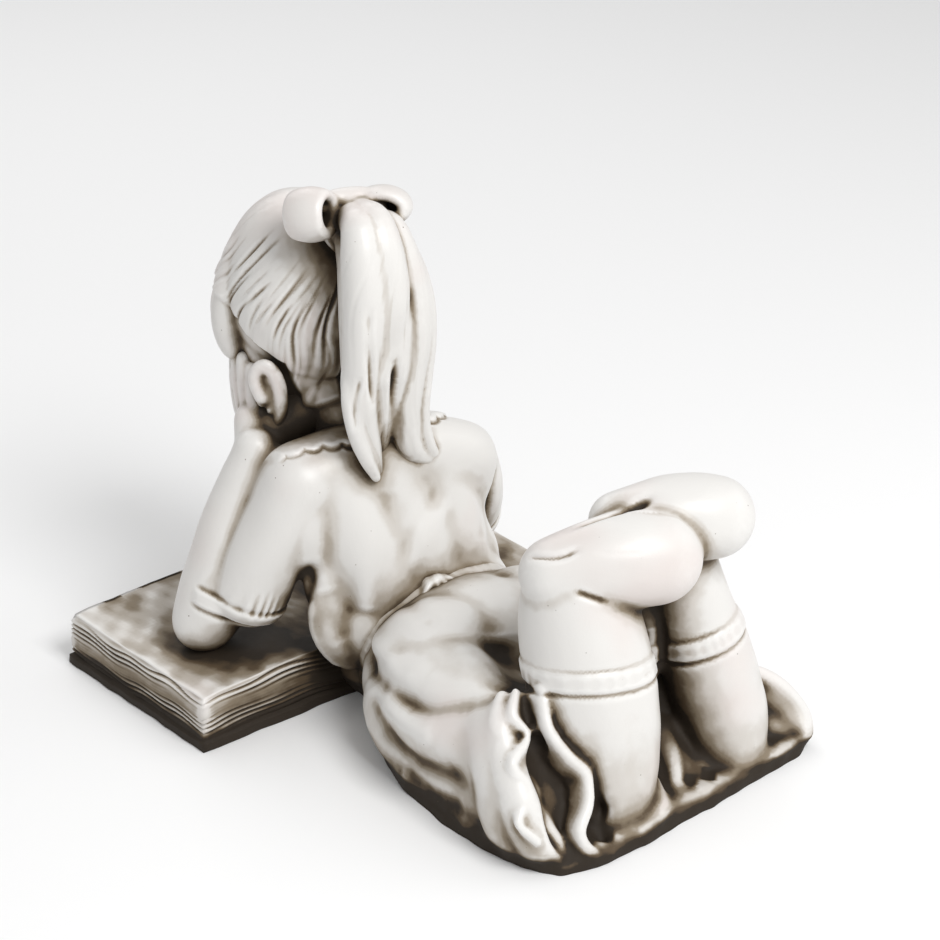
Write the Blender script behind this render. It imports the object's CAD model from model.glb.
import math

import bmesh
import bpy
import numpy as np
from mathutils import Matrix, Vector
from mathutils.bvhtree import BVHTree


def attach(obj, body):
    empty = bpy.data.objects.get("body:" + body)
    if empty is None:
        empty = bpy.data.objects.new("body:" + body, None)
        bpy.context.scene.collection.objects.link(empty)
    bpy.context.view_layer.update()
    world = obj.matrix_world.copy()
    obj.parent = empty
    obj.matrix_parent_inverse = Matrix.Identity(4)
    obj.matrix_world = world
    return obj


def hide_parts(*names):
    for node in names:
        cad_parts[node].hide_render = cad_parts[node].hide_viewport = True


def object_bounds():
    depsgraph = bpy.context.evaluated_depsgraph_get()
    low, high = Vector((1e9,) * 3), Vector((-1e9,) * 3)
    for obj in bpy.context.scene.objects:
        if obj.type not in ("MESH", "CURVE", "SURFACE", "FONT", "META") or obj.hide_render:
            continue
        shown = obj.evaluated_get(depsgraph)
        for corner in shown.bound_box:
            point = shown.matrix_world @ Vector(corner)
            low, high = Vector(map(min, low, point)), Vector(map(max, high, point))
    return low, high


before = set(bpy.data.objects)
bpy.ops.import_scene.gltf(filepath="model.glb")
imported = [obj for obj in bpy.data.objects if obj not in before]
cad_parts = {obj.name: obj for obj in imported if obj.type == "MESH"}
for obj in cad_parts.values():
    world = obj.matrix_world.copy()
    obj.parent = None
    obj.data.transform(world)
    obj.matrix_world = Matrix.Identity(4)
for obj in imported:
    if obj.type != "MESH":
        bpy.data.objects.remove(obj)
cadLow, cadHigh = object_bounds()

# The figure is laid out on a grid of even steps, sized to the solid's length:
# x = 0 in the middle of the hem, +y towards the book, z = -6 on the ground.
grid = dict(hemEdge=-258.9, bookEdge=250.0, ground=-6.0)
stepSize = (cadHigh.y - cadLow.y) / (grid["bookEdge"] - grid["hemEdge"])

book = dict(
    middle=-18.0, width=364.4, depth=186.7, thickness=45.6, cover=7.5, overhang=3.3,
    gutterDepth=9.0, droop=1.5, pages=11, columns=90, rows=44, layers=54,
)
frameShift = Vector((
    cadLow.x + (book["width"] / 2 + book["overhang"] - book["middle"]) * stepSize,
    cadHigh.y - grid["bookEdge"] * stepSize,
    cadLow.z - grid["ground"] * stepSize,
))
toFrame = Matrix.Translation(frameShift) @ Matrix.Scale(stepSize, 4)


# shaping tools

def turned(yaw=0.0, pitch=0.0, roll=0.0):  # degrees: about z, then x, then y
    return (
        Matrix.Rotation(math.radians(yaw), 4, "Z")
        @ Matrix.Rotation(math.radians(pitch), 4, "X")
        @ Matrix.Rotation(math.radians(roll), 4, "Y")
    )


def unitShape(kind):  # one ball or drum made by the mesh operators, then copied many times
    bm = bmesh.new()
    if kind == "drum":
        bmesh.ops.create_cone(bm, cap_ends=True, segments=24, radius1=1, radius2=1, depth=1)
        bmesh.ops.triangulate(bm, faces=bm.faces[:])
    else:
        bmesh.ops.create_icosphere(bm, subdivisions=kind, radius=1.0)
    points = np.array([v.co[:] for v in bm.verts])
    faces = np.array([[v.index for v in f.verts] for f in bm.faces])
    bm.free()
    return points, faces


unitBall, unitBead, unitDrum = unitShape(4), unitShape(3), unitShape("drum")


class Blocks:  # overlapping closed shapes waiting to be run together
    def __init__(self):
        self.points, self.faces, self.count = [], [], 0

    def put(self, shape, place):
        points, faces = shape
        place = np.array(place)
        self.points.append(points @ place[:3, :3].T + place[:3, 3])
        self.faces.append(faces + self.count)
        self.count += len(points)

    def mesh(self, name):
        points, faces = np.vstack(self.points), np.vstack(self.faces)
        mesh = bpy.data.meshes.new(name)
        mesh.vertices.add(len(points))
        mesh.vertices.foreach_set("co", points.ravel())
        mesh.loops.add(faces.size)
        mesh.loops.foreach_set("vertex_index", faces.ravel())
        mesh.polygons.add(len(faces))
        mesh.polygons.foreach_set("loop_start", np.arange(0, faces.size, 3))
        mesh.update(calc_edges=True)
        return mesh


def addBall(blocks, centre, radii, turn=Matrix(), at=Matrix()):
    place = at @ Matrix.Translation(Vector(centre)) @ turn @ Matrix.Diagonal((*radii, 1.0))
    blocks.put(unitBall, place)


def addLimb(blocks, joints, at=Matrix()):  # joints are (x, y, z, radius)
    for x, y, z, radius in joints:
        blocks.put(unitBead, at @ Matrix.Translation((x, y, z)) @ Matrix.Scale(radius, 4))
    for start, end in zip(joints, joints[1:]):
        a, b = Vector(start[:3]), Vector(end[:3])
        along = b - a
        if along.length < 1e-3:
            continue
        points, faces = unitDrum
        width = np.where(points[:, 2] < 0, start[3], end[3])
        shaped = points * np.stack([width, width, np.full(len(points), along.length)], 1)
        upright = along.to_track_quat("Z", "Y").to_matrix().to_4x4()
        blocks.put((shaped, faces), at @ Matrix.Translation((a + b) / 2) @ upright)


def smoothLine(points, perSpan=5):  # a smooth curve through hand-set points
    p = np.array(points, float)
    p = np.vstack([2 * p[0] - p[1], p, 2 * p[-1] - p[-2]])
    out = []
    for a, b, c, d in zip(p, p[1:], p[2:], p[3:]):
        for t in np.linspace(0, 1, perSpan, endpoint=False):
            out.append(0.5 * (2 * b + (c - a) * t + (2 * a - 5 * b + 4 * c - d) * t ** 2
                              + (3 * b - a - 3 * c + d) * t ** 3))
    out.append(p[-2])
    return [tuple(float(v) for v in q) for q in out]


def addLock(blocks, joints, at=Matrix()):
    addLimb(blocks, smoothLine(joints, 4), at)


def mirrored(points, side):  # for the left (-1) or the right (1)
    return [(side * x, *rest) for x, *rest in points]


def fused(blocks, name, voxel):  # runs overlapping blocks together into one skin
    shape = bpy.data.objects.new(name, blocks.mesh(name))
    bpy.context.scene.collection.objects.link(shape)
    fuse = shape.modifiers.new("fuse", "REMESH")
    fuse.mode = "VOXEL"
    fuse.voxel_size = voxel
    bpy.context.view_layer.update()
    skin = bpy.data.meshes.new_from_object(shape.evaluated_get(bpy.context.evaluated_depsgraph_get()))
    bpy.data.objects.remove(shape)
    bm = bmesh.new()
    bm.from_mesh(skin)
    waiting, shells = set(bm.verts), []
    while waiting:  # the pockets left between blocks are dropped
        shell = [waiting.pop()]
        for vert in shell:
            for edge in vert.link_edges:
                other = edge.other_vert(vert)
                if other in waiting:
                    waiting.remove(other)
                    shell.append(other)
        shells.append(shell)
    shells.sort(key=len)
    bmesh.ops.delete(bm, geom=[v for shell in shells[:-1] for v in shell], context="VERTS")
    bm.to_mesh(skin)
    bm.free()
    return skin


class Clay:  # a skin held as arrays, so that carving works on all of it at once
    def __init__(self, mesh):
        self.mesh = mesh
        count = len(mesh.vertices)
        self.points = np.empty(count * 3)
        mesh.vertices.foreach_get("co", self.points)
        self.points = self.points.reshape(-1, 3)
        edges = np.empty(len(mesh.edges) * 2, np.int64)
        mesh.edges.foreach_get("vertices", edges)
        self.a, self.b = edges.reshape(-1, 2).T
        ends = np.bincount(self.a, minlength=count) + np.bincount(self.b, minlength=count)
        self.degree = np.maximum(ends, 1)

    def around(self, values):  # mean of each point's neighbours
        size = len(self.degree)
        if values.ndim == 1:
            total = np.bincount(self.a, values[self.b], size)
            return (total + np.bincount(self.b, values[self.a], size)) / self.degree
        return np.stack([self.around(values[:, k]) for k in range(values.shape[1])], 1)

    def soften(self, rounds, weight=1.0):
        weight = np.broadcast_to(weight, len(self.points))[:, None] * 0.5
        for _ in range(rounds):
            self.points = self.points + (self.around(self.points) - self.points) * weight

    def normals(self):
        self.mesh.vertices.foreach_set("co", self.points.ravel())
        self.mesh.update()
        out = np.empty(len(self.points) * 3)
        self.mesh.vertices.foreach_get("normal", out)
        return out.reshape(-1, 3)

    def push(self, lift):
        self.points = self.points + self.normals() * lift[:, None]


def rise(value, low, high):  # smooth step
    t = np.clip((value - low) / (high - low), 0.0, 1.0)
    return t * t * (3 - 2 * t)


def between(value, low, lowEnd, high, highEnd):  # rises over the first span, falls over the second
    return rise(value, low, lowEnd) * (1 - rise(value, high, highEnd))


def bell(value, width):
    return np.exp(-((value / width) ** 2))


def toLine(points, line):  # distance to a chain, and how far along it the nearest place is (0..1)
    line = np.array(line, float)
    nearest = np.full(len(points), 1e9)
    place = np.zeros(len(points))
    lengths = np.linalg.norm(np.diff(line, axis=0), axis=1)
    total, gone = lengths.sum(), 0.0
    for a, b, length in zip(line[:-1], line[1:], lengths):
        along = b - a
        share = np.clip((points - a) @ along / (along @ along), 0.0, 1.0)
        gap = np.linalg.norm(points - a - share[:, None] * along, axis=1)
        closer = gap < nearest
        nearest = np.where(closer, gap, nearest)
        place = np.where(closer, (gone + share * length) / total, place)
        gone += length
    return nearest, place


def ripple(points, length, seed):  # gentle unevenness made of crossing waves
    rng = np.random.default_rng(seed)
    out = np.zeros(len(points))
    for _ in range(7):
        way = rng.normal(size=3)
        way *= 2 * math.pi / (length * rng.uniform(0.6, 1.6) * np.linalg.norm(way))
        out += np.sin(points @ way + rng.uniform(0, 6.3))
    return out / 3.5


def folds(points, lines):  # each is (points, width, depth): a valley, or a ridge where depth < 0
    lift = np.zeros(len(points))
    for line, width, depth in lines:
        gap, place = toLine(points, smoothLine(line, 4))
        taper = between(place, -0.02, 0.16, 0.84, 1.02)
        lift -= depth * bell(gap, width) * (0.25 + 0.75 * taper)
    return lift


def aroundAxis(points, start, end):  # height along, angle round and distance from a limb's axis
    start, end = np.array(start, float), np.array(end, float)
    along = (end - start) / np.linalg.norm(end - start)
    side = np.cross(along, (0.3, 0.9, 0.1))
    side /= np.linalg.norm(side)
    other = np.cross(along, side)
    away = points - start
    height = away @ along
    reach = np.linalg.norm(away - height[:, None] * along, axis=1)
    return height, np.arctan2(away @ side, away @ other), reach


# head, hair and bow

head = dict(
    centre=(-26, 152, 300), yaw=15, pitch=-12, voxel=1.56,
    skull=((0, -4, 6), (59, 65, 81)), lowerFace=((0, 10, -34), (51, 58, 64)),
    neck=[(-15, 84, 190, 33), (-22, 112, 222, 33), (-26, 136, 250, 36)],
    throat=[(-36, 124, 222, 26), (-62, 131, 214, 22), (-82, 134, 204, 16)],
    fringeLocks=3, fringeTurn=15, capSize=(60.0, 68.0, 84.0), capPole=(0.0, -0.62, 0.785),
    hairline=97, templeDrop=9,  # in degrees from the pole, where the strands meet
    capRise=3.0, strands=54, fineStrands=150, strandDepth=3.2,
)
headPlace = Matrix.Translation(head["centre"]) @ turned(head["yaw"], head["pitch"])

face = dict(  # calm, looking down at the page
    nose=[(0, 60, -14, 5), (0, 66, -32, 6), (0, 73, -46, 8)],
    balls=[  # nostril, eye and cheek: centre, radii
        ((8, 66, -49), (5.5, 7, 5)),
        ((23, 49, -25), (14, 13, 10)),
        ((29, 38, -56), (24, 23, 25)),
    ],
    locks=[  # brow, upper lip and lower lip
        [(40, 40, -14, 5), (26, 53, -8, 6), (9, 58, -12, 5)],
        [(15, 57, -70, 2.5), (5, 64, -66, 5), (0, 65, -67, 4)],
        [(13, 57, -73, 2.5), (5, 61, -77, 5), (0, 62, -77, 5)],
    ],
    chin=((0, 50, -90), (17, 15, 12)),
    lines=[  # eyelids, and the side of the nose
        ([(11, 60, -18), (23, 63, -15), (35, 53, -19)], 1.8, 1.6),
        ([(10, 60, -27), (23, 64, -32), (35, 53, -28)], 1.7, 2.2),
        ([(14, 62, -44), (15, 62, -52)], 2.0, 1.5),
    ],
    nostril=(5, 70, -55), nostrilDepth=3.0, nostrilWidth=3.0,
    mouth=([(-15, 60, -71.5), (-6, 66, -70.5), (0, 67, -71.5), (6, 66, -70.5), (15, 60, -71.5)],
           1.6, 2.4),
)

tail = dict(
    core=[(-18, 102, 374, 20), (-18, 82, 376, 25), (-24, 64, 352, 29), (-30, 54, 316, 30),
          (-33, 52, 280, 28), (-34, 55, 246, 22), (-34, 60, 214, 16)],
    locks=[
        [(-34, 76, 392, 13), (-45, 56, 392, 14), (-49, 47, 373, 17), (-52, 41, 343, 18),
         (-56, 39, 313, 16), (-58, 41, 279, 14), (-56, 43, 243, 13), (-49, 44, 215, 11),
         (-40, 45, 194, 5)],
        [(-26, 76, 394, 12), (-30, 56, 394, 14), (-33, 44, 374, 17), (-33, 38, 339, 18),
         (-35, 38, 307, 14), (-34, 42, 275, 10), (-40, 43, 246, 7), (-47, 40, 224, 5)],
        [(-14, 76, 384, 11), (-14, 58, 384, 13), (-10, 50, 360, 16), (-6, 44, 329, 16),
         (-7, 41, 297, 15), (-12, 40, 265, 13), (-15, 40, 232, 12), (-10, 40, 208, 11),
         (4, 39, 194, 8)],
        [(-4, 56, 374, 7), (2, 47, 354, 8), (7, 41, 325, 8), (7, 38, 292, 7), (2, 36, 262, 6),
         (-2, 35, 232, 6), (4, 35, 206, 6), (14, 36, 192, 4)],
        [(-62, 48, 300, 6), (-68, 42, 270, 7), (-66, 38, 240, 7), (-58, 36, 214, 6),
         (-46, 38, 192, 4)],
    ],
    furrows=[
        ([(-62, 22, 340), (-63, 20, 315), (-58, 24, 288), (-54, 27, 262)], 3.6, 5.5),
        ([(-36, 24, 290), (-34, 26, 262), (-30, 30, 235), (-29, 34, 204)], 4.5, 7.0),
        ([(-16, 34, 350), (-14, 26, 318), (-16, 24, 286), (-22, 26, 262)], 3.4, 1.6),
        ([(-2, 36, 268), (-6, 34, 240), (-4, 36, 214)], 2.4, 2.2),
        ([(-66, 30, 284), (-70, 32, 262), (-68, 34, 238)], 2.2, 2.2),
        ([(-26, 40, 382), (-24, 28, 352), (-24, 22, 324)], 3.0, 1.2),
    ],
)
bow = dict(
    wall=4.6,
    left=((-61, 94, 397), turned(-62, 0, -10), 12, (16, 16)),
    right=((-3, 80, 394), turned(-134, 0, -8), 9, (18, 11)),
    band=[(-46, 97, 401, 8), (-34, 95, 403, 8), (-20, 89, 403, 8), (-6, 82, 400, 8)],
    knot=((-26, 92, 398), (13, 12, 12)),
)
ear = dict(
    place=(56, 5, -60), tilt=(-24, 0, 6),
    rim=[(-6, 0), (-8, 13), (-5, 22), (2, 26), (8, 20), (10, 9), (9, -6), (6, -17), (2, -25)],
    fold=[(4, 15), (7, 5), (4, -6), (-1, -12)], rimRadius=5.8,
)


def addFace(blocks):
    addLimb(blocks, face["nose"], headPlace)
    for side in (-1, 1):
        for (x, y, z), radii in face["balls"]:
            addBall(blocks, (side * x, y, z), radii, at=headPlace)
        for lock in face["locks"]:
            addLock(blocks, mirrored(lock, side), headPlace)
    addBall(blocks, *face["chin"], at=headPlace)


def addEar(blocks, side):
    x, y, z = ear["place"]
    yaw, pitch, roll = ear["tilt"]
    place = headPlace @ Matrix.Translation((side * x, y, z)) @ turned(side * yaw, pitch, side * roll)
    addBall(blocks, (side * -2, -2, 1), (8, 10, 20), at=place)
    addLock(blocks, [(side * 4, -u, v, ear["rimRadius"]) for u, v in ear["rim"]], place)
    addLock(blocks, [(side * 3, -u, v, 4.0) for u, v in ear["fold"]], place)
    addBall(blocks, (side * 2, -3, -23), (5, 6, 7), at=place)
    addBall(blocks, (side * 1, 8, -4), (4, 4, 6), at=place)


def addBow(blocks):
    addBall(blocks, *bow["knot"])
    addLock(blocks, bow["band"])
    for centre, turn, ribbon, (wide, tall) in (bow["left"], bow["right"]):
        place = Matrix.Translation(centre) @ turn
        for share in np.linspace(-1, 1, 10):  # hoops side by side make the folded ribbon
            barrel = 1.06 - 0.14 * share ** 2
            hoop = []
            for k in range(21):
                angle = 2 * math.pi * k / 20
                across, up = wide * barrel * math.cos(angle), tall * barrel * math.sin(angle)
                hoop.append((*(place @ Vector((share * ribbon, across, up))), bow["wall"]))
            addLimb(blocks, hoop)
        addBall(blocks, (-0.75 * ribbon, 0, 0), (ribbon * 0.55, wide, tall), at=place)


def makeHead():
    blocks = Blocks()
    addBall(blocks, *head["skull"], at=headPlace)
    addBall(blocks, *head["lowerFace"], at=headPlace)
    addLimb(blocks, head["neck"])
    addFace(blocks)
    for side in (-1, 1):
        addEar(blocks, side)
    for lock in range(-head["fringeLocks"], head["fringeLocks"] + 1):
        turn = math.radians(head["fringeTurn"] * lock)
        across, ahead, drop = math.sin(turn), math.cos(turn), 5.5 * abs(lock)
        addLock(blocks, [
            (44 * across, 42 * ahead - 4, 52, 9), (54 * across, 56 * ahead - 4, 30, 11),
            (62 * across, 67 * ahead - 3, 8 - drop / 2, 13),
            (62 * across, 69 * ahead - 4, -10 - drop, 10),
            (53 * across, 60 * ahead - 5, -18 - drop, 5),
        ], headPlace)
    addLimb(blocks, tail["core"])
    for lock in tail["locks"]:
        addLock(blocks, lock)
    addBow(blocks)
    clay = Clay(fused(blocks, "girlHead", head["voxel"]))

    inverse = np.array(headPlace.inverted())
    local = clay.points @ inverse[:3, :3].T + inverse[:3, 3]
    faceSide = rise(local[:, 1], 20, 40) * (1 - rise(local[:, 2], 10, 30))
    x, y, z = clay.points.T
    upperTail = between(z, 250, 290, 372, 386) * rise(56 - y, 0, 8)
    clay.soften(5, 0.8)
    forehead = rise(local[:, 1], 6, 24) * rise(local[:, 2], 6, 26)
    clay.soften(16, np.maximum(np.maximum(upperTail, forehead), faceSide * 0.5))

    # the cap of hair: strands drawn back from the face to the bow
    local = clay.points @ inverse[:3, :3].T + inverse[:3, 3]
    size = np.linalg.norm(local / np.array(head["capSize"]), axis=1)
    unit = local / np.linalg.norm(local, axis=1)[:, None]
    pole, sideways = np.array(head["capPole"]), np.array((1.0, 0.0, 0.0))
    fromPole = np.degrees(np.arccos(np.clip(unit @ pole, -1, 1)))
    angle = np.arctan2(unit @ sideways, unit @ np.cross(sideways, pole))
    onHead = (1 - rise(size, 1.12, 1.2)) * rise(size, 0.75, 0.85)
    lowest = head["hairline"] + head["templeDrop"] * (1 - rise(local[:, 1], 14, 40))
    hairline = 1 - rise(fromPole, lowest, lowest + 4)
    behindEars = (1 - rise(local[:, 1], -16, -9)) * rise(local[:, 2], -92, -80)
    cap = np.maximum(hairline, behindEars) * onHead
    flow = angle + 0.10 * np.sin(fromPole / 19.0 + 2.0 * angle)
    breadth = 62.0 * np.sin(np.radians(np.clip(fromPole, 20, 100)))
    rng = np.random.default_rng(4)
    carved = np.zeros(len(local))
    coarse, fine = (head["strands"], head["strandDepth"], 1.5), (head["fineStrands"], 0.8, 1.1)
    for count, deepest, thin in (coarse, fine):
        for k in range(count):
            where = -math.pi + 2 * math.pi * (k + rng.uniform(0.1, 0.9)) / count
            start, reach = rng.uniform(22, 80), rng.uniform(38, 86)
            off = flow - where + rng.normal() * 0.0008 * (fromPole - 60)
            gap = (np.mod(off + math.pi, 2 * math.pi) - math.pi) * breadth
            along = rise(fromPole, start, start + 0.4 * reach)
            along *= 1 - rise(fromPole, start + 0.45 * reach, start + reach)
            depth, width = deepest * rng.uniform(0.25, 1.0), thin * rng.uniform(0.8, 1.5)
            carved += depth * along * bell(gap, width)
    lift = cap * (head["capRise"] - np.minimum(carved, 4.2) * rise(fromPole, 24, 40))
    lift += cap * 0.7 * ripple(local * (1, 1, 0.45), 15, 6) * rise(fromPole, 90, 110)

    # a few soft waves and thin strands down the tail
    x, y, z = clay.points.T
    middleX = np.interp(z, [180, 226, 318, 370], [-32, -32, -30, -26])
    turn = np.arctan2(x - middleX, 54 - y)
    onTail = (np.hypot(x - middleX, y - 54) < 50) * between(z, 182, 196, 374, 388)
    onTail = onTail * rise(60 - y, 0, 14)
    wave = turn * 26 / (2 * math.pi) + 0.9 * np.sin(z / 40.0 + 0.6) + 0.35 * np.sin(z / 17.0)
    thread = (0.5 + 0.5 * np.cos(2 * math.pi * wave)) ** 4
    lift -= onTail * 0.4 * thread * (0.5 + 0.5 * np.sin(z / 31.0 + 4 * np.round(wave)))
    lift += folds(clay.points, tail["furrows"]) * rise(62 - y, 0, 8)

    # eyelids, nostrils and the line of the mouth
    lines = []
    for side in (-1, 1):
        lines += [(mirrored(line, side), width, depth) for line, width, depth in face["lines"]]
        away = np.sum((local - mirrored([face["nostril"]], side)[0]) ** 2, axis=1)
        lift -= face["nostrilDepth"] * np.exp(-away / face["nostrilWidth"] ** 2)
    lines.append(face["mouth"])
    lift += folds(local, lines)
    clay.push(lift)
    clay.soften(1, 0.4)
    return clay


# dress, arms and collar

body = dict(
    voxel=1.8,
    balls=[  # centre, radii, turn
        ((-13, 74, 140), (84, 47, 76), (-14, -28)),
        ((-2, 36, 66), (80, 48, 54), (-8, -28)),
        ((-4, 60, 20), (60, 50, 44), (0, 0)),
    ],
    rolls=[
        [(-86, 86, 182, 31), (-50, 76, 190, 31), (-16, 68, 192, 31), (12, 60, 190, 30),
         (46, 52, 180, 27)],
        # the back, from the shoulders down to the waist
        [(-62, 76, 186, 30), (-54, 66, 156, 34), (-46, 52, 122, 36), (-38, 44, 90, 36)],
        [(-20, 66, 186, 30), (-14, 58, 156, 34), (-8, 46, 124, 38), (-4, 42, 92, 38)],
        [(18, 58, 180, 29), (24, 52, 152, 32), (26, 44, 122, 34), (26, 40, 92, 34)],
        # cloth hanging at the sides, and under the left arm
        [(-74, 68, 124, 20), (-80, 58, 90, 19), (-78, 50, 60, 17), (-66, 48, 40, 14)],
        [(52, 52, 124, 20), (60, 44, 90, 19), (58, 42, 60, 16), (48, 40, 40, 14)],
        [(-82, 82, 182, 30), (-88, 74, 154, 25), (-90, 68, 132, 18)],
    ],
    neck=(-20, 128), scallops=17,
    collarEdge=[(-118, 122), (-110, 98), (-102, 84), (-88, 78), (-72, 72), (-56, 62), (-38, 58),
                (-8, 52), (20, 52), (46, 68), (60, 92), (62, 116)],
    folds=[
        ([(-97, 58, 134), (-96, 60, 116), (-94, 62, 94), (-90, 68, 66)], 7, 5),
        ([(84, 36, 168), (76, 42, 140), (73, 44, 112), (68, 60, 66)], 7, 8),
        ([(-98, 58, 96), (-99, 56, 72), (-93, 50, 48), (-78, 44, 30)], 6, -3.5),
        ([(-92, 48, 106), (-88, 44, 84), (-80, 38, 62)], 9, 2.2),
        ([(-62, 34, 132), (-65, 28, 110), (-69, 24, 86)], 8, -2.5),
        ([(10, 34, 172), (-8, 28, 156), (-26, 24, 142), (-44, 24, 122), (-58, 26, 104)], 6, 1.5),
        ([(20, 30, 160), (0, 22, 146), (-20, 18, 130), (-38, 18, 114)], 6, -1.5),
        ([(-34, 40, 178), (-40, 36, 158), (-38, 30, 138)], 8, 1.0),
        ([(54, 24, 160), (48, 18, 138), (40, 12, 118)], 8, 1.2),
    ],
)
arms = dict(
    left=dict(
        sleeve=[(-84, 84, 182, 34), (-98, 88, 155, 32), (-112, 95, 125, 31), (-121, 104, 94, 32)],
        cuff=((-122, 105, 80), (-114, 96, 116), 40),
        forearm=[(-140, 126, 80, 28), (-147, 132, 64, 27), (-140, 131, 92, 26),
                 (-126, 129, 136, 23), (-108, 126, 178, 20), (-98, 124, 200, 18)],
        wrist=(-77, 13, -101),
    ),
    right=dict(
        sleeve=[(52, 54, 176, 29), (62, 66, 154, 33), (76, 82, 126, 35), (90, 98, 98, 32)],
        cuff=((90, 98, 94), (77, 82, 128), 38),
        forearm=[(98, 108, 82, 27), (107, 118, 66, 27), (100, 120, 92, 25), (82, 125, 136, 22),
                 (56, 130, 178, 20), (42, 132, 198, 18)],
        wrist=(60, -14, -109),
    ),
)


def addHand(blocks, side, wrist):  # the cheek rests on the palm, the fingers lie along it
    palm = [(*wrist, 17), (side * 67, 0.6 * wrist[1] + 12, -95, 17), (side * 58, 28, -82, 14)]
    thumb = [(58, 18, -94, 11), (50, 34, -94, 8.5), (40, 48, -86, 7), (33, 53, -78, 5.5)]
    addLock(blocks, palm, headPlace)
    addLock(blocks, [(side * x, y, z, radius) for x, y, z, radius in thumb], headPlace)
    for finger in range(4):
        y = 23 + 9.5 * finger
        x = 51 * math.sqrt(1 - ((y - 10) / 58) ** 2 - 0.06) + 4.5
        length = (38, 46, 48, 42)[finger]
        addLock(blocks, [
            (side * (x + 4), y - 3, -84, 8.0), (side * (x + 3), y - 1, -72, 7.6),
            (side * (x + 1), y, -80 + 0.6 * length, 6.8), (side * (x - 2), y, -80 + length, 5.8),
        ], headPlace)


def makeBody():
    blocks = Blocks()
    for centre, radii, turn in body["balls"]:
        addBall(blocks, centre, radii, turned(*turn))
    for roll in body["rolls"]:
        addLock(blocks, roll)
    addLimb(blocks, head["throat"])
    for side, arm in ((-1, arms["left"]), (1, arms["right"])):
        addLock(blocks, arm["sleeve"])
        addLimb(blocks, arm["forearm"])
        addHand(blocks, side, arm["wrist"])
    clay = Clay(fused(blocks, "girlBody", body["voxel"]))
    inverse = np.array(headPlace.inverted())
    local = clay.points @ inverse[:3, :3].T + inverse[:3, 3]
    onHand = rise(local[:, 2], -102, -88)
    clay.soften(16, 1 - 0.9 * onHand)
    onWrist = between(local[:, 2], -132, -120, -96, -84)
    clay.soften(30, onWrist * rise(np.abs(local[:, 0]), 54, 64))
    x, y, z = clay.points.T
    onBack = between(z, 84, 104, 196, 208) * (1 - rise(np.abs(x + 8), 64, 84))
    clay.soften(60, onBack * (1 - rise(y, 60, 84)) * (1 - onHand))
    clay.soften(4, 0.6)

    lift = folds(clay.points, body["folds"]) * (1 - onHand)
    # collar: a thin scalloped layer round the neck
    edge = np.array(smoothLine([(x, y, 0) for x, y in body["collarEdge"]], 6))
    flat = clay.points * (1, 1, 0)
    gap, place = toLine(flat, edge)
    gone = np.concatenate([[0], np.cumsum(np.linalg.norm(np.diff(edge, axis=0), axis=1))])
    nearest = np.stack([np.interp(place * gone[-1], gone, edge[:, k]) for k in (0, 1)], 1)
    toEdge, toSpot = (np.linalg.norm(q - body["neck"], axis=1) for q in (nearest, flat[:, :2]))
    inward = np.where(toSpot < toEdge, gap, -gap)
    inward += 3.4 * np.abs(np.sin(math.pi * body["scallops"] * place)) ** 0.6
    x, y, z = clay.points.T
    nearWrist = np.maximum(1 - rise(x, -108, -99), rise(y, 96, 104) * (np.abs(x + 20) > 40))
    shoulders = rise(z, 186, 196) * rise(-local[:, 2], 66, 78) * (1 - onHand) * (1 - nearWrist)
    layer = 2.6 * between(inward, 0.0, 1.6, 34, 40)
    lift += shoulders * (layer - 1.1 * bell(inward + 1.8, 1.5))
    # gathered ends of the sleeves
    for arm in arms.values():
        start, end, limit = arm["cuff"]
        height, angle, reach = aroundAxis(clay.points, start, end)
        near = 1 - rise(reach, limit + 4, limit + 10)
        band = between(height, -5, -2.5, 6, 8.5)
        groove = 0.7 * bell(height - 9.5, 2.2)
        groove += bell(height + 6.5, 2.2)
        bunch = 0.5 + 0.5 * np.sin(3 * angle + 0.7)
        gather = np.cos(21 * angle + 2.4 * np.sin(4 * angle))
        gather *= (1 - rise(height, 8, 36)) * rise(height, 4, 8)
        lift += near * (1.7 * band - 1.3 * groove + 1.1 * bunch * gather)
    lift += 0.55 * ripple(clay.points, 46, 3) * (1 - onHand)
    clay.push(lift)
    clay.soften(1, 0.4)
    return clay


# skirt, legs and shoes

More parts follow.
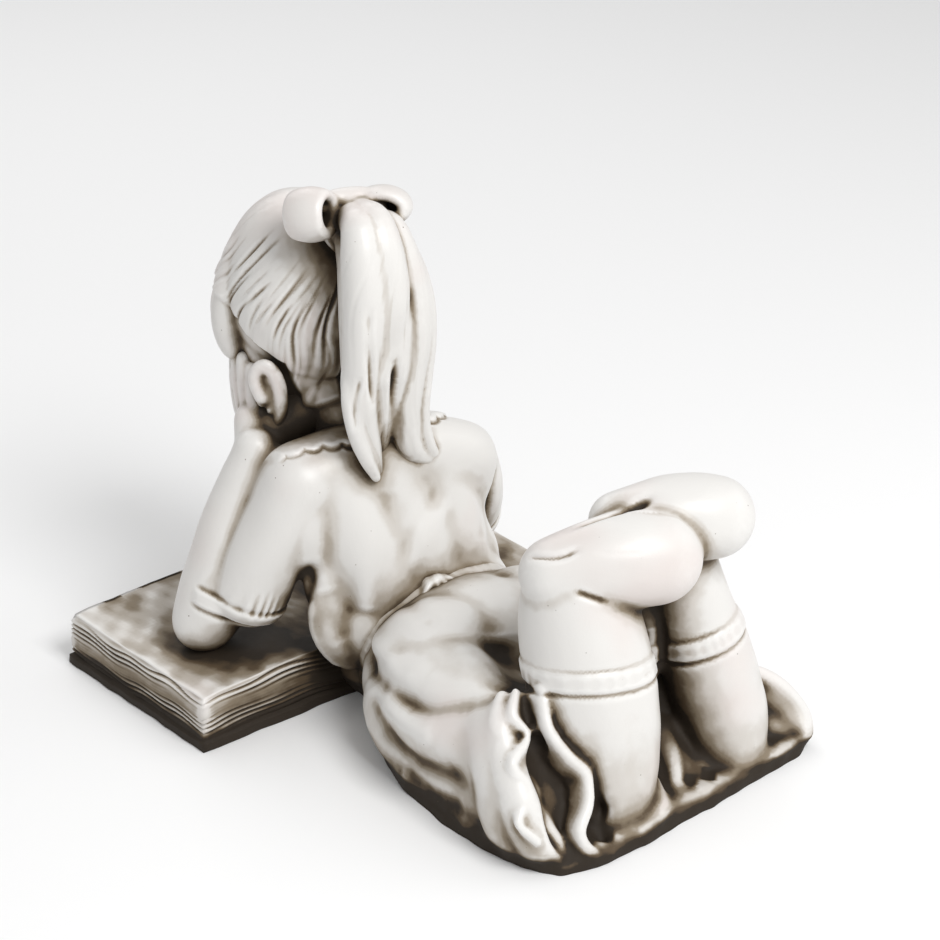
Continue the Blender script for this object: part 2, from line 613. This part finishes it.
skirt = dict(
    voxel=2.3,
    outline=[
        (-49, 75), (-58, 40), (-87, -1), (-106, -44), (-120, -84), (-128, -137), (-127, -185),
        (-121, -222), (-106, -248), (-77, -259), (-36, -259), (30, -253), (90, -249), (150, -243),
        (172, -230), (172, -206), (158, -170), (146, -120), (132, -66), (114, -20), (94, 20),
        (76, 75),
    ],
    baseHeight=9, baseInset=0.95, baseMiddle=-60, edgeHeight=9, edgeDepth=12,
    balls=[  # centre, radii
        ((-2, -40, 44), (104, 84, 68)),
        ((-46, -44, 66), (58, 56, 48)),
        ((40, -44, 66), (54, 54, 46)),
        ((-6, -100, 2), (118, 104, 52)),
        ((4, -176, -6), (116, 64, 20)),
        ((-4, 60, 20), (62, 50, 40)),
    ],
    rolls=[
        [(-62, -60, 42, 62), (-70, -114, 40, 60), (-73, -146, 38, 55), (-80, -174, 24, 43),
         (-86, -196, 8, 32)],
        [(-78, -130, 78, 18), (-93, -154, 78, 18), (-104, -172, 64, 20), (-108, -184, 48, 22),
         (-108, -196, 26, 24), (-106, -206, 6, 22)],
        [(50, -60, 42, 56), (74, -128, 34, 50), (90, -158, 20, 36)],
        [(84, -30, 14, 34), (104, -84, 8, 36), (120, -136, 0, 32), (130, -170, -4, 24)],
        # behind the ruffles
        [(-88, -162, 98, 9), (-102, -176, 86, 11), (-108, -190, 68, 14), (-112, -206, 48, 16),
         (-112, -218, 28, 17), (-104, -228, 6, 17)],
    ],
    hem=[  # flared on the far side, and bunched under the legs
        [(112, -176, 62, 8), (130, -188, 56, 8), (150, -200, 46, 8), (163, -212, 32, 8),
         (168, -224, 16, 8), (160, -236, 4, 8)],
        [(116, -180, 44, 10), (136, -194, 38, 9), (154, -208, 26, 9), (160, -222, 12, 9)],
        [(124, -190, 20, 14), (142, -210, 8, 14), (156, -224, 0, 12)],
        [(50, -184, 22, 20), (40, -208, 4, 20), (24, -230, -6, 17)],
        [(72, -204, 4, 18), (58, -228, -4, 14), (44, -242, -6, 13)],
        [(8, -222, 12, 12), (-6, -242, 2, 12), (-30, -250, -2, 11)],
        [(104, -236, 2, 9), (126, -238, 2, 9), (150, -234, 0, 9)],
    ],
    ruffles=[  # wavy crest, straighter root deeper in, radius
        ([(-84, -172, 108), (-97, -184, 98), (-92, -196, 84), (-116, -205, 73), (-106, -216, 52),
          (-128, -226, 40), (-118, -236, 24)],
         [(-70, -166, 92), (-76, -176, 80), (-82, -186, 66), (-88, -196, 52), (-92, -206, 38),
          (-96, -216, 24), (-98, -224, 12)], 3.8),
        ([(-74, -190, 112), (-80, -204, 90), (-74, -217, 72), (-64, -228, 56), (-70, -238, 38),
          (-84, -245, 22), (-78, -251, 6), (-66, -255, -4)],
         [(-72, -176, 98), (-78, -190, 80), (-76, -204, 62), (-68, -214, 46), (-72, -224, 30),
          (-82, -232, 14), (-80, -238, 0), (-72, -242, -8)], 4.8),
    ],
    folds=[
        ([(-74, -184, 97), (-86, -198, 78), (-95, -212, 63), (-96, -224, 45), (-101, -236, 28),
          (-98, -250, 8)], 5, 9),
        ([(-58, -190, 94), (-58, -206, 72), (-52, -220, 54), (-52, -230, 30), (-60, -240, 14),
          (-56, -250, 0)], 5, 9),
        ([(-74, 23, 65), (-90, -6, 64), (-108, -40, 70), (-117, -72, 71), (-112, -108, 75),
          (-98, -136, 82), (-88, -166, 98)], 10, 8),
        ([(-80, 14, 76), (-100, -20, 84), (-108, -60, 92), (-106, -92, 96)], 12, -4),
        ([(-24, -84, 100), (-36, -110, 92), (-52, -136, 88), (-70, -158, 92)], 18, 8),
        ([(-72, 13, 72), (-94, -22, 76), (-104, -56, 80)], 5, 2.5),
        ([(-112, -30, 58), (-120, -60, 40), (-126, -94, 32), (-128, -132, 34),
          (-122, -166, 44)], 14, 9),
        ([(-114, -50, 72), (-124, -90, 62), (-122, -130, 62)], 9, -3),
        ([(-119, -84, 12), (-126, -124, 10), (-127, -160, 16)], 9, 3),
        ([(-44, 2, 98), (-60, -26, 104), (-68, -60, 106)], 8, 2.0),
        ([(80, 0, 66), (104, -50, 74), (114, -100, 66)], 9, 6),
        ([(120, -60, 30), (136, -110, 26), (148, -160, 26)], 10, 5),
        ([(30, -14, 100), (40, -60, 104), (56, -110, 96)], 9, 6),
        ([(30, -192, 36), (26, -214, 22), (12, -234, 10)], 6, 3),
        ([(58, -190, 34), (48, -214, 18), (36, -236, 8)], 6, 3.5),
        ([(64, -226, 12), (54, -238, 8)], 5, 2.5),
        ([(51, -184, 126), (51, -186, 98), (47, -186, 72)], 3.5, 3),
        ([(40, -176, 120), (38, -176, 96), (36, -180, 74)], 4, 4),
    ],
)
legs = dict(
    left=[(-32, -219, 3, 28), (-27, -210, 22, 37), (-23, -200, 54, 45), (-24, -192, 86, 49),
          (-24, -183, 118, 49), (-24, -174, 148, 46), (-25, -168, 178, 38)],
    right=[(96, -214, 2, 28), (99, -206, 30, 35), (96, -197, 60, 37), (91, -189, 92, 36),
           (84, -182, 122, 33), (74, -177, 168, 28)],
    between=[  # cloth seen between the legs
        [(28, -140, 60, 34), (32, -148, 96, 26), (36, -156, 130, 20), (34, -158, 168, 20)],
        [(44, -168, 66, 12), (48, -170, 92, 14), (48, -166, 122, 15), (42, -160, 156, 16)],
        [(34, -164, 70, 9), (34, -164, 110, 11), (30, -160, 150, 13)],
    ],
    leftCuff=((-24, -185, 112), (-19.4, -176.9, 155), 58),
    rightCuff=((90, -187, 104), (80, -178, 146), 52),
)
shoes = dict(
    left=dict(parts=[(-41, -166, 189, 28), (-28, -173, 191, 31), (-8, -184, 194, 35),
                     (10, -193, 195, 37), (26, -201, 194, 36)],
              heel=(-52, -160), toe=(34, -206), halfWidth=42, sole=234.0),
    right=dict(parts=[(26, -160, 208, 23), (42, -173, 211, 27), (59, -184, 212, 32),
                      (74, -194, 210, 34), (85, -200, 208, 32.5)],
               heel=(22, -156), toe=(98, -208), halfWidth=40, sole=240.0),
    seams=[
        ([(-66, -150, 206), (-57, -173, 210), (-49, -182, 212), (-38, -188, 216)], 1.7, 2.6),
        ([(-29, -198, 215), (-17, -209, 214), (-5, -217, 214), (14, -225, 213)], 1.6, 2.2),
        ([(-48, -197, 189), (-40, -203, 185), (-30, -209, 180)], 2.2, 2.4),
        ([(-30, -166, 226), (0, -176, 230), (30, -184, 230), (52, -186, 226)], 4.0, 5.0),
    ],
)


def addRuffle(blocks, crest, root, radius):  # a standing sheet of cloth, waving along its crest
    crest, root = np.array(smoothLine(crest, 6)), np.array(smoothLine(root, 6))
    for level in (0.0, 0.16, 0.34, 0.55, 0.8):
        line = crest + (root - crest) * level
        addLimb(blocks, [(*spot, radius * (1 + 0.5 * level)) for spot in line])


def makeSkirt():
    blocks = Blocks()
    slab = bmesh.new()
    bmesh.ops.create_circle(slab, cap_ends=True, segments=len(skirt["outline"]), radius=1)
    slab.verts.ensure_lookup_table()
    for vert, (x, y) in zip(slab.verts, skirt["outline"]):
        vert.co = (x, y, grid["ground"] - skirt["edgeDepth"])
    bottom = slab.faces[:]
    edge, top = (grid["ground"] + skirt["edgeHeight"], 1.0), (skirt["baseHeight"], skirt["baseInset"])
    for height, share in (edge, top):
        grown = bmesh.ops.extrude_face_region(slab, geom=bottom)["geom"]
        verts = [g for g in grown if isinstance(g, bmesh.types.BMVert)]
        bottom = [g for g in grown if isinstance(g, bmesh.types.BMFace)]
        for vert in verts:
            vert.co.x *= share
            vert.co.y = skirt["baseMiddle"] + (vert.co.y - skirt["baseMiddle"]) * share
            vert.co.z = height
    bmesh.ops.holes_fill(slab, edges=[e for e in slab.edges if e.is_boundary])
    bmesh.ops.recalc_face_normals(slab, faces=slab.faces[:])
    bmesh.ops.triangulate(slab, faces=slab.faces[:])
    slab.verts.index_update()
    points, faces = [v.co[:] for v in slab.verts], [[v.index for v in f.verts] for f in slab.faces]
    blocks.put((np.array(points), np.array(faces)), Matrix())
    slab.free()
    for centre, radii in skirt["balls"]:
        addBall(blocks, centre, radii)
    for roll in skirt["rolls"] + skirt["hem"]:
        addLock(blocks, roll)
    for crest, root, radius in skirt["ruffles"]:
        addRuffle(blocks, crest, root, radius)
    for limb in (legs["left"], legs["right"], *legs["between"]):
        addLock(blocks, limb)
    for shoe in (shoes["left"], shoes["right"]):
        addLock(blocks, shoe["parts"])
    clay = Clay(fused(blocks, "girlSkirt", skirt["voxel"]))
    z = clay.points[:, 2]
    crisp = np.zeros(len(z))
    for crest, root, radius in skirt["ruffles"]:
        crisp = np.maximum(crisp, 1 - rise(toLine(clay.points, crest)[0], 16, 26))
    clay.soften(12, 1 - 0.9 * crisp)
    x, y, z = clay.points.T
    clay.soften(36, (1 - crisp) * rise(-x, 66, 86) * rise(-y, 80, 110) * rise(z, 14, 26))
    clay.soften(3, 0.6)
    z = clay.points[:, 2]

    lift = folds(clay.points, skirt["folds"])
    for name in ("leftCuff", "rightCuff"):
        start, end, limit = legs[name]
        height, angle, reach = aroundAxis(clay.points, start, end)
        near = 1 - rise(reach, limit - 4, limit)
        wear = 0.55 + 0.45 * np.sin(3 * angle + 1.0)
        band = between(height, -6, -3, 7, 12)
        groove = bell(height + 7.0, 1.8)
        groove += 0.6 * wear * bell(height - 11.5, 1.8)
        ribs = np.cos(24 * angle + 2 * np.sin(4 * angle))
        lift += near * (1.3 * band - 1.4 * groove + 0.16 * band * ribs)
    lift += 0.6 * ripple(clay.points, 50, 5) * (z < 120)
    foot = 1 - rise(z, 2, 9)
    lift += foot * (0.8 * ripple(clay.points, 24, 9) - 2.4)
    clay.push(lift)
    # soles turned up: flattened a little, then the seams
    for shoe, other in ((shoes["left"], shoes["right"]), (shoes["right"], shoes["left"])):
        p = clay.points
        gap = toLine(p * (1, 1, 0), [(*shoe["heel"], 0), (*shoe["toe"], 0)])[0]
        toOwn, toOther = (toLine(p, [q[:3] for q in foot["parts"]])[0] for foot in (shoe, other))
        near = (toOwn < toOther) & (gap < shoe["halfWidth"]) & (p[:, 2] > shoe["sole"] - 30)
        over = np.clip((p[:, 2] - shoe["sole"] + 10) / 20, 0, 1)
        eased = shoe["sole"] - 10 + 20 * (over - 0.4 * over ** 2)
        p[:, 2] = np.where(near & (p[:, 2] > shoe["sole"] - 10), eased, p[:, 2])
    clay.push(folds(clay.points, shoes["seams"]))
    clay.soften(1, 0.4)
    return clay


sash = dict(
    voxel=1.2, middle=(-4, 26, 50), up=(0, -0.4, 0.92), steps=48, sunk=1.5,
    across=(0, 0.92, 0.4), halfWidth=6.2,
    cords=((-1.1, 3.4), (-0.55, 4.0), (0.0, 3.8), (0.55, 4.1), (1.1, 3.4)),  # how far across, radius
    knotShift=(-9, 2, 3), knot=(8, 7, 6),
    creases=(10, 38, 70, 105, 150, 178, 205, 250, 290, 330),  # short ones, out of the knot
)


def makeSash(tree):  # a narrow band laid round the waist, gathered into a small knot behind
    blocks = Blocks()
    centre, up = Vector(sash["middle"]), Vector(sash["up"])
    line = []
    for k in range(sash["steps"]):
        angle = 2 * math.pi * k / sash["steps"]
        way = Vector((math.sin(angle), 0, 0)) + up * math.cos(angle)
        hit = tree.ray_cast(centre + way * 220, -way)
        line.append((hit[0] if hit[0] else centre + way * 60) - way * sash["sunk"])
    line = np.array([tuple(spot) for spot in line])
    for _ in range(3):
        line = 0.25 * np.roll(line, 1, 0) + 0.5 * line + 0.25 * np.roll(line, -1, 0)
    line = np.vstack([line, line[:1]])
    across = np.array(sash["across"]) * sash["halfWidth"]
    for side, radius in sash["cords"]:
        addLimb(blocks, [(*(spot + side * across), radius) for spot in line])
    top = Vector(line[0]) + Vector(sash["knotShift"])
    addBall(blocks, top, sash["knot"])
    rng = np.random.default_rng(12)
    for turn in sash["creases"]:
        angle, reach = math.radians(turn), rng.uniform(13, 24)
        spread = Vector((math.cos(angle), math.sin(angle) * 0.7, math.sin(angle) * 0.25)) * reach
        halfway, end = top + spread * 0.5 + Vector((0, 0, 1)), top + spread + Vector((0, 0, -5))
        addLock(blocks, [(*top, 3.5), (*halfway, 3.0), (*end, 1.6)])
    clay = Clay(fused(blocks, "girlSash", sash["voxel"]))
    clay.soften(3, 0.8)
    return clay


# open book

def makeBook():
    bm = bmesh.new()
    bmesh.ops.create_cube(bm, size=1.0)
    half = book["width"] / 2
    bmesh.ops.scale(bm, vec=(2 * half, book["depth"], book["thickness"]), verts=bm.verts)
    middleY, middleZ = grid["bookEdge"] - book["depth"] / 2, grid["ground"] + book["thickness"] / 2
    bmesh.ops.translate(bm, vec=(book["middle"], middleY, middleZ), verts=bm.verts)
    for axis, cuts in ((0, book["columns"]), (1, book["rows"]), (2, book["layers"])):
        edges = [e for e in bm.edges if abs((e.verts[0].co - e.verts[1].co)[axis]) > 1e-3]
        bmesh.ops.subdivide_edges(bm, edges=edges, cuts=cuts, use_grid_fill=True)
    mesh = bpy.data.meshes.new("openBook")
    bmesh.ops.triangulate(bm, faces=bm.faces[:])
    bm.to_mesh(mesh)
    bm.free()
    clay = Clay(mesh)
    p = clay.points
    x, y, z = p.T.copy()
    share = (z - grid["ground"]) / book["thickness"]
    front, back = grid["bookEdge"] - book["depth"], grid["bookEdge"]
    edge = np.abs(x - book["middle"]) / half
    dip = book["gutterDepth"] * bell(x - book["middle"], 0.09 * book["width"])
    swell = 3.0 * bell(np.abs(x - book["middle"]) - 0.45 * half, 0.3 * half) - 0.5
    top = book["thickness"] - dip + swell - book["droop"] * rise(edge, 0.86, 1.0) ** 1.5
    p[:, 2] = grid["ground"] + share * top
    page = share * book["pages"] + 0.35 * np.sin(x / 31.0 + y / 23.0)
    page += 0.22 * np.sin(x / 11.0 - y / 9.0 + 4 * share)
    comb = (0.5 + 0.5 * np.cos(2 * math.pi * page)) ** 3
    depth = 0.75 + 0.85 * np.sin(7.3 * np.round(page) + x / 40.0 + y / 50.0)
    coverShare = book["cover"] / book["thickness"]
    inPages = rise(share, coverShare, coverShare + 0.02) * (1 - rise(share, 0.95, 0.99))
    lean = 2.2 * np.sin(2.6 * share + 0.4)  # the block of pages bulges a little
    out = inPages * (-0.4 - 1.5 * comb * depth + lean * 0.5) - 3.0 * rise(share, 0.86, 1.0) ** 2
    inCover = 1 - rise(share, coverShare, coverShare + 0.02)
    out += inCover * (book["overhang"] + 0.9 * ripple(p, 30, 11))
    onSide = edge > 0.9999
    p[:, 0] += np.where(onSide, np.sign(x - book["middle"]) * out, 0.0)
    onFront = y < front + 1e-3
    onBack = y > back - 1e-3
    tuckedIn = np.minimum(out - book["overhang"], -0.2)
    p[:, 1] += np.where(onFront, -out, 0.0) + np.where(onBack, tuckedIn, 0.0)
    clay.points = p
    onTop = rise(share, 0.985, 0.999)
    clay.push(onTop * (0.5 * ripple(p, 60, 12) + 0.25 * ripple(p, 22, 13)))
    clay.soften(1, 0.35)
    return clay


# putting the pieces on the frame

def finishPiece(clay, name):
    mesh = clay.mesh
    clay.points[:, 2] = np.maximum(clay.points[:, 2], grid["ground"])
    mesh.vertices.foreach_set("co", clay.points.ravel())
    mesh.update()
    mesh.transform(toFrame)
    mesh.name = name
    bm = bmesh.new()
    bm.from_mesh(mesh)
    bmesh.ops.triangulate(bm, faces=bm.faces[:])
    bm.to_mesh(mesh)
    bm.free()
    for polygon in mesh.polygons:
        polygon.use_smooth = True
    piece = bpy.data.objects.new(name, mesh)
    bpy.context.scene.collection.objects.link(piece)
    print(name, "triangles", len(mesh.polygons))
    return piece


def treeOf(*clays):
    points, faces, start = [], [], 0
    for clay in clays:
        clay.normals()
        points += [tuple(p) for p in clay.points]
        faces += [tuple(start + v for v in f.vertices) for f in clay.mesh.polygons]
        start += len(clay.points)
    return BVHTree.FromPolygons(points, faces)


grime = dict(
    rays=7, quickRays=3, moreRays=dict(carvedBook=3), reach=0.12, lift=0.0012, upward=0.25,
    blur=14,
    hollows=[  # name, rounds of smoothing, gain, lowest value
        ("fineHollow", 3, 1.6, -1.0), ("hollow", 12, 0.55, -0.35), ("broadHollow", 40, 0.22, -0.2),
    ],
    dirtier=dict(carvedBook=0.14, carvedSkirt=0.03),
    packed=[  # places where the wash has been left thickest: where, how wide, how much
        ((-66, 122, 214), 22, 0.75), ((-36, 106, 216), 20, 0.50), ((-94, 100, 196), 16, 0.35),
        ((-98, 62, 84), 20, 0.45), ((-112, 116, 42), 24, 0.30), ((48, -178, 26), 26, 0.50),
        ((-66, -206, 60), 22, 0.25), ((18, -172, 228), 16, 0.30),
    ],
)


def addGrime(pieces):  # dirt settles where little sky is seen, in hollows, and near the ground
    clays = {piece: Clay(piece.data) for piece in pieces}
    tree = treeOf(*clays.values())
    rng = np.random.default_rng(21)
    for piece, clay in clays.items():
        rays = grime["rays"]
        rays *= grime["moreRays"].get(piece.name, 1)
        points, normals, reach = clay.points, clay.normals(), grime["reach"]
        way = rng.normal(size=(rays, len(points), 3))
        way /= np.linalg.norm(way, axis=2)[:, :, None]
        seen = np.zeros(len(points))
        starts = points + normals * grime["lift"]
        for turn in way:
            turn = turn + normals * 1.02 + (0, 0, grime["upward"])
            turn /= np.linalg.norm(turn, axis=1)[:, None]
            toGround = np.where(turn[:, 2] < -0.02, starts[:, 2] / np.maximum(-turn[:, 2], 0.02), 9.0)
            for k in range(len(points)):
                hit = tree.ray_cast(starts[k], turn[k], reach)
                away = toGround[k] if hit[0] is None else min(hit[3], toGround[k])
                if away < reach:
                    seen[k] += 1.0 - 0.75 * away / reach
        seen /= rays
        for _ in range(grime["blur"]):
            seen = 0.4 * seen + 0.6 * clay.around(seen)
        seen += grime["dirtier"].get(piece.name, 0.0)
        for spot, width, amount in grime["packed"]:
            away = np.linalg.norm(points - np.array(toFrame @ Vector(spot)), axis=1)
            seen += amount * bell(away, width * stepSize)
        smooth, values = points.copy(), dict(shade=seen)
        for label, rounds, gain, lowest in grime["hollows"]:
            for _ in range(rounds):
                smooth = clay.around(smooth)
            hollow = np.sum((smooth - points) * normals, axis=1) / stepSize
            values[label] = np.clip(hollow * gain, lowest, 1)
        for label, data in values.items():
            layer = piece.data.attributes.new(label, "FLOAT", "POINT")
            layer.data.foreach_set("value", np.ascontiguousarray(data, dtype=np.float32))
        print(piece.name, "grime", np.round(np.percentile(seen, (10, 50, 90)), 2))


# cast stone

stone = dict(
    # from bare stone to packed dirt: where on the wash, and its colour
    tones=[(0.0, (0.72, 0.705, 0.68)), (0.18, (0.60, 0.57, 0.53)), (0.38, (0.40, 0.355, 0.30)),
           (0.58, (0.22, 0.175, 0.12)), (0.80, (0.08, 0.052, 0.026)), (1.0, (0.018, 0.010, 0.003))],
    blush=(0.68, 0.60, 0.57), bright=(0.84, 0.83, 0.81), speck=(0.12, 0.08, 0.05),
    roughness=0.36, bumpHeight=0.0006, shadeShare=1.30, hollowShare=0.66,
    hollows=[("hollow", 0.42), ("fineHollow", 0.40), ("broadHollow", 0.40)],
    grainScale=1100.0, brushScale=90.0, blotchScale=22.0, blushScale=9.0, speckScale=150.0,
)


class Nodes:  # short words for building a node tree
    def __init__(self, tree):
        self.tree = tree

    def add(self, kind, **inputs):
        node = self.tree.nodes.new(kind)
        for name, value in inputs.items():
            self.put(node.inputs[name.replace("_", " ")], value)
        return node

    def put(self, socket, value):
        if isinstance(value, bpy.types.NodeSocket):
            self.tree.links.new(value, socket)
        else:
            socket.default_value = value

    def calc(self, operation, *values, clamp=False):
        node = self.tree.nodes.new("ShaderNodeMath")
        node.operation, node.use_clamp = operation, clamp
        for socket, value in zip(node.inputs, values):
            self.put(socket, value)
        return node.outputs[0]

    def mix(self, share, a, b):
        node = self.tree.nodes.new("ShaderNodeMix")
        node.data_type = "RGBA"
        for index, value in ((0, share), (6, a), (7, b)):
            self.put(node.inputs[index], value)
        return node.outputs[2]

    def value(self, label):
        node = self.tree.nodes.new("ShaderNodeAttribute")
        node.attribute_name = label
        return node.outputs["Fac"]

    def span(self, value, low, high, outLow=0.0, outHigh=1.0):
        ends = dict(From_Min=low, From_Max=high, To_Min=outLow, To_Max=outHigh)
        node = self.add("ShaderNodeMapRange", Value=value, **ends)
        node.interpolation_type = "SMOOTHSTEP"
        return node.outputs[0]

    def noise(self, where, scale, detail=4.0, rough=0.55):
        node = self.add("ShaderNodeTexNoise", Vector=where, Scale=scale)
        node.inputs["Detail"].default_value = detail
        node.inputs["Roughness"].default_value = rough
        return node.outputs["Fac"]


def makeStone():
    material = bpy.data.materials.new("agedCastStone")
    material.use_nodes = True
    material.node_tree.nodes.clear()
    n = Nodes(material.node_tree)
    where = n.add("ShaderNodeTexCoord").outputs["Object"]
    blotch = n.noise(where, stone["blotchScale"], 3.0)
    blush = n.noise(where, stone["blushScale"], 2.0)
    brush = n.noise(where, stone["brushScale"], 5.0, 0.65)
    grain = n.noise(where, stone["grainScale"], 3.0, 0.7)
    height = n.add("ShaderNodeSeparateXYZ", Vector=where).outputs["Z"]

    shade = n.value("shade")
    hollow = 0.0
    for label, amount in stone["hollows"]:
        hollow = n.calc("ADD", hollow, n.calc("MULTIPLY", n.value(label), amount))
    hollow = n.calc("MULTIPLY", hollow, stone["hollowShare"])
    wash = n.calc("ADD", n.calc("MULTIPLY", shade, stone["shadeShare"]), hollow)
    uneven = n.calc("ADD", n.calc("MULTIPLY", n.calc("SUBTRACT", brush, 0.5), 0.20),
                    n.calc("MULTIPLY", n.calc("SUBTRACT", blotch, 0.46), 0.45))
    wash = n.calc("ADD", wash, n.calc("MULTIPLY", uneven, n.span(shade, 0.02, 0.40, 0.50, 1.0)))
    wash = n.calc("ADD", wash, n.span(height, 0.01, 0.13, 0.20, 0.04))
    lifted = n.calc("ADD", height, n.calc("MULTIPLY", n.calc("SUBTRACT", blotch, 0.5), 0.014))
    nearGround = n.span(lifted, 0.007, 0.017, 1.0, 0.0)
    wash = n.calc("ADD", wash, n.calc("MULTIPLY", nearGround, 0.75), clamp=True)
    ramp = n.add("ShaderNodeValToRGB", Fac=wash)
    ramp.color_ramp.interpolation = "EASE"
    for k, (spot, tone) in enumerate(stone["tones"]):
        stop = ramp.color_ramp.elements[k] if k < 2 else ramp.color_ramp.elements.new(spot)
        stop.position, stop.color = spot, (*tone, 1)
    pink = n.calc("MULTIPLY", n.span(blush, 0.50, 0.68), n.span(wash, 0.5, 0.1, 0.0, 0.6))
    colour = n.mix(pink, ramp.outputs[0], (*stone["blush"], 1))
    worn = n.span(n.value("fineHollow"), -0.15, -0.6, 0.0, 0.4)  # the wash is rubbed off sharp edges
    colour = n.mix(n.calc("MULTIPLY", worn, n.span(wash, 0.7, 0.4)), colour, (*stone["bright"], 1))
    cells = n.add("ShaderNodeTexVoronoi", Vector=where, Scale=stone["speckScale"]).outputs["Distance"]
    specks = n.calc("MULTIPLY", n.span(cells, 0.10, 0.04), n.span(brush, 0.56, 0.66))
    colour = n.mix(specks, colour, (*stone["speck"], 1))
    rough = n.calc("MULTIPLY", n.span(wash, 0.25, 0.7), 0.40)
    rough = n.calc("ADD", rough, n.calc("MULTIPLY", brush, 0.16))
    rough = n.calc("ADD", rough, stone["roughness"] - 0.08, clamp=True)
    relief = n.calc("ADD", n.calc("MULTIPLY", grain, 0.35), brush)
    bump = n.add("ShaderNodeBump", Height=relief, Strength=0.30, Distance=stone["bumpHeight"])
    shader = n.add("ShaderNodeBsdfPrincipled", Base_Color=colour, Roughness=rough)
    n.put(shader.inputs["Normal"], bump.outputs[0])
    out = n.add("ShaderNodeOutputMaterial")
    material.node_tree.links.new(shader.outputs[0], out.inputs["Surface"])
    return material


stage = dict(
    floorSize=6.0, floorDrop=0.0002, floorTone=(0.90, 0.90, 0.90), skyStrength=0.55,
    aim=(0, 0, 0.15),
    lamps=[  # name, place, size, power
        ("key", (-0.10, -1.45, 1.80), 0.9, 32.0),
        ("side", (1.5, -0.9, 1.2), 1.4, 4.0),
        ("rim", (0.4, 1.6, 1.5), 1.2, 8.0),
    ],
)


def makeStage():
    bm = bmesh.new()
    bmesh.ops.create_grid(bm, x_segments=1, y_segments=1, size=stage["floorSize"])
    mesh = bpy.data.meshes.new("floor")
    bm.to_mesh(mesh)
    bm.free()
    floor = bpy.data.objects.new("floor", mesh)
    floor.location.z = cadLow.z - stage["floorDrop"]
    bpy.context.scene.collection.objects.link(floor)
    material = bpy.data.materials.new("paleFloor")
    material.use_nodes = True
    shader = material.node_tree.nodes["Principled BSDF"]
    shader.inputs["Base Color"].default_value = (*stage["floorTone"], 1)
    shader.inputs["Roughness"].default_value = 0.9
    mesh.materials.append(material)
    world = bpy.data.worlds.new("studio")
    world.use_nodes = True
    world.node_tree.nodes["Background"].inputs["Color"].default_value = (1.0, 1.0, 1.0, 1)
    world.node_tree.nodes["Background"].inputs["Strength"].default_value = stage["skyStrength"]
    bpy.context.scene.world = world
    bpy.context.scene.view_settings.view_transform = "Standard"
    for name, place, size, power in stage["lamps"]:
        lamp = bpy.data.lights.new(name, "AREA")
        lamp.size, lamp.energy = size, power
        thing = bpy.data.objects.new(name, lamp)
        thing.location = place
        toAim = Vector(stage["aim"]) - Vector(place)
        thing.rotation_euler = toAim.to_track_quat("-Z", "Y").to_euler()
        bpy.context.scene.collection.objects.link(thing)


photoView = dict(
    azimuth=-40, elevation=26, distance=2600, target=(129, 133.5, 108), halfFrame=395,
)


def makeCamera():
    a, e = math.radians(photoView["azimuth"]), math.radians(photoView["elevation"])
    back = Vector((math.sin(a) * math.cos(e), -math.cos(a) * math.cos(e), math.sin(e)))
    lens = bpy.data.cameras.new("photoCamera")
    lens.sensor_width = 36
    lens.lens = 18 * photoView["distance"] / photoView["halfFrame"]
    camera = bpy.data.objects.new("photoCamera", lens)
    camera.location = toFrame @ (Vector(photoView["target"]) + back * photoView["distance"])
    camera.rotation_euler = back.to_track_quat("Z", "Y").to_euler()
    bpy.context.scene.collection.objects.link(camera)
    bpy.context.scene.camera = camera


skirtClay = makeSkirt()
print("skirt, legs and shoes carved")
bodyClay = makeBody()
print("dress, arms and hands carved")
sashClay = makeSash(treeOf(skirtClay, bodyClay))
headClay = makeHead()
print("head and hair carved")
bookClay = makeBook()
print("book carved")

pieces = [
    finishPiece(clay, name) for clay, name in (
        (skirtClay, "carvedSkirt"), (bodyClay, "carvedDress"), (sashClay, "carvedSash"),
        (headClay, "carvedHead"), (bookClay, "carvedBook"),
    )
]
addGrime(pieces)
castStone = makeStone()
for piece in pieces:
    piece.data.materials.clear()
    piece.data.materials.append(castStone)
    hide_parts("reading_girl")
    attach(piece, "root")

makeStage()
makeCamera()
